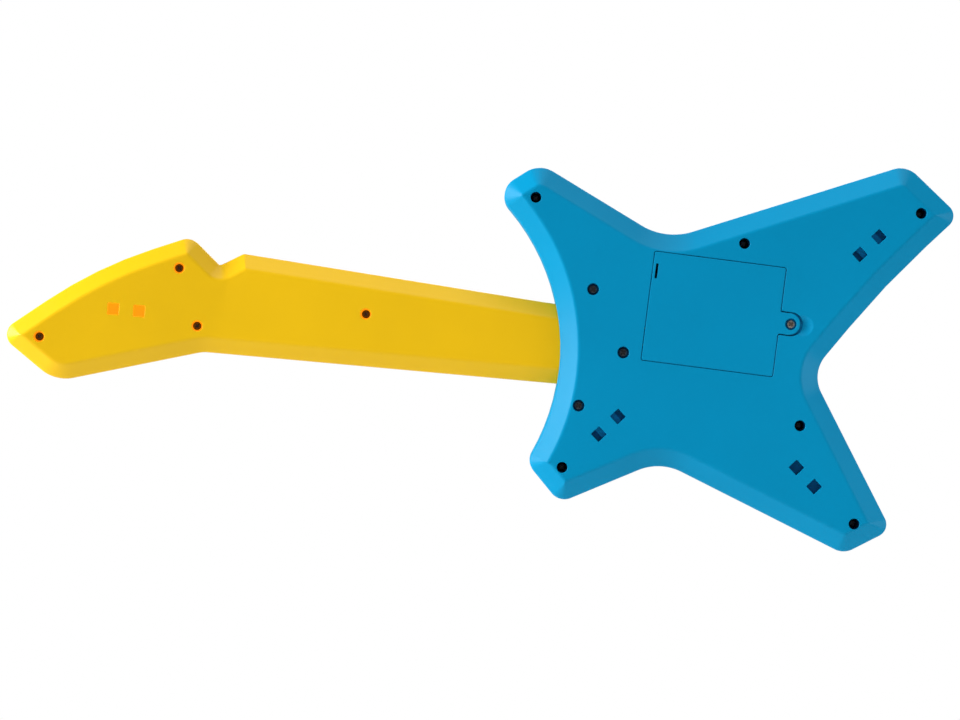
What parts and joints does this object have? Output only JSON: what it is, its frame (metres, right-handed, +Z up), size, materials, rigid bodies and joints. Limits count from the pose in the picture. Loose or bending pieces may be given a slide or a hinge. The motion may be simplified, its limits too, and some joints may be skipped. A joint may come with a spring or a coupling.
{
  "type": "toy electric guitar",
  "caption": "Hand-held toy electric guitar with a star-shaped body, tapered neck, headstock, strum bar, fret buttons and a battery door in its flat back.",
  "frame": {"origin": "on the flat back face, on the neck's centreline, in the middle of the neck joint", "axes": "+X along the neck from the headstock to the tail, +Y from the back to the playing side, +Z up as the guitar is held to play"},
  "size_m": [0.5012, 0.0484, 0.2101],
  "materials": {
    "blue_plastic": "satin moulded ABS",
    "yellow_plastic": "satin moulded ABS",
    "screw_steel": "zinc plated",
    "plated_metal": "satin",
    "silver_plastic": "metallised",
    "black_plastic": "fine texture",
    "white_plastic": "satin",
    "circuit_board": "solder mask",
    "grey_silicone": "matt",
    "cell_jacket": "printed film, plain",
    "speaker_paper": "pressed paper",
    "clear_lens": "polished",
    "wire_insulation": "smooth"
  },
  "bodies": {
    "casing": {"body_back_shell": "blue_plastic", "body_front_shell": "blue_plastic", "battery_tray": "blue_plastic", "tuner_caps": "blue_plastic", "neck_back_shell": "yellow_plastic", "neck_front_shell": "yellow_plastic", "pickguard": "yellow_plastic", "speaker_grille": "yellow_plastic", "body_screws": "screw_steel", "neck_joint_screws": "screw_steel", "neck_screws": "screw_steel", "pcb_screws": "screw_steel", "battery_springs": "screw_steel", "battery_plates": "screw_steel", "strum_spring": "screw_steel", "whammy_spring": "screw_steel", "bridge_cover": "plated_metal", "speaker_frame": "plated_metal", "speaker_magnet": "plated_metal", "power_switch_body": "plated_metal", "pickup_cover": "black_plastic", "strum_switches": "black_plastic", "pcb_components": "black_plastic", "nut_bar": "white_plastic", "fret_bars": "white_plastic", "main_pcb": "circuit_board", "effect_pcb": "circuit_board", "neck_pcb": "circuit_board", "effect_pad": "grey_silicone", "fret_pad": "grey_silicone", "aa_cell_upper": "cell_jacket", "aa_cell_middle": "cell_jacket", "aa_cell_lower": "cell_jacket", "speaker_cone": "speaker_paper", "light_lens": "clear_lens", "light_led": "clear_lens", "battery_wires": "wire_insulation", "speaker_wires": "wire_insulation", "neck_ribbon": "wire_insulation"},
    "battery_door": {"battery_door": "blue_plastic"},
    "door_screw": {"battery_door_screw": "screw_steel", "screw_retainer_ring": "black_plastic"},
    "strum": {"strum_bar": "yellow_plastic", "strum_shaft": "screw_steel"},
    "whammy": {"whammy_lever": "silver_plastic", "whammy_screw": "screw_steel"},
    "power_knob": {"power_switch_knob": "yellow_plastic"},
    "effect_1": {"effect_button_1": "yellow_plastic"},
    "effect_2": {"effect_button_2": "yellow_plastic"},
    "effect_3": {"effect_button_3": "yellow_plastic"},
    "fret_1": {"fret_button_1": "blue_plastic"},
    "fret_2": {"fret_button_2": "blue_plastic"},
    "fret_3": {"fret_button_3": "blue_plastic"},
    "fret_4": {"fret_button_4": "blue_plastic"},
    "fret_5": {"fret_button_5": "blue_plastic"}
  },
  "joints": [
    {"name": "door_hinge", "type": "hinge", "parent": "casing", "child": "battery_door", "pos_m": [0.01905, 0, 0.027], "axis": [0, 0, -1], "range_deg": [0, 50]},
    {"name": "door_screw_slide", "type": "slide", "parent": "battery_door", "child": "door_screw", "axis": [0, -1, 0], "range_m": [0, 0.003]},
    {"name": "strum_rock", "type": "hinge", "parent": "casing", "child": "strum", "pos_m": [0.046, 0.033, 0], "axis": [1, 0, 0], "range_deg": [-8, 8], "stiffness_Nm_per_rad": 0.15},
    {"name": "whammy_swing", "type": "hinge", "parent": "casing", "child": "whammy", "pos_m": [0.088, 0.04, -0.014], "axis": [0, 1, 0], "range_deg": [-12, 12], "stiffness_Nm_per_rad": 0.1},
    {"name": "power_slide", "type": "slide", "parent": "casing", "child": "power_knob", "axis": [1, 0, 0], "range_m": [0, 0.008]},
    {"name": "effect_press_1", "type": "slide", "parent": "casing", "child": "effect_1", "axis": [0, -1, 0], "range_m": [0, 0.0015], "stiffness_N_per_m": 300},
    {"name": "effect_press_2", "type": "slide", "parent": "casing", "child": "effect_2", "axis": [0, -1, 0], "range_m": [0, 0.0015], "stiffness_N_per_m": 300},
    {"name": "effect_press_3", "type": "slide", "parent": "casing", "child": "effect_3", "axis": [0, -1, 0], "range_m": [0, 0.0015], "stiffness_N_per_m": 300},
    {"name": "fret_press_1", "type": "slide", "parent": "casing", "child": "fret_1", "axis": [0, -1, 0], "range_m": [0, 0.0015], "stiffness_N_per_m": 300},
    {"name": "fret_press_2", "type": "slide", "parent": "casing", "child": "fret_2", "axis": [0, -1, 0], "range_m": [0, 0.0015], "stiffness_N_per_m": 300},
    {"name": "fret_press_3", "type": "slide", "parent": "casing", "child": "fret_3", "axis": [0, -1, 0], "range_m": [0, 0.0015], "stiffness_N_per_m": 300},
    {"name": "fret_press_4", "type": "slide", "parent": "casing", "child": "fret_4", "axis": [0, -1, 0], "range_m": [0, 0.0015], "stiffness_N_per_m": 300},
    {"name": "fret_press_5", "type": "slide", "parent": "casing", "child": "fret_5", "axis": [0, -1, 0], "range_m": [0, 0.0015], "stiffness_N_per_m": 300}
  ]
}
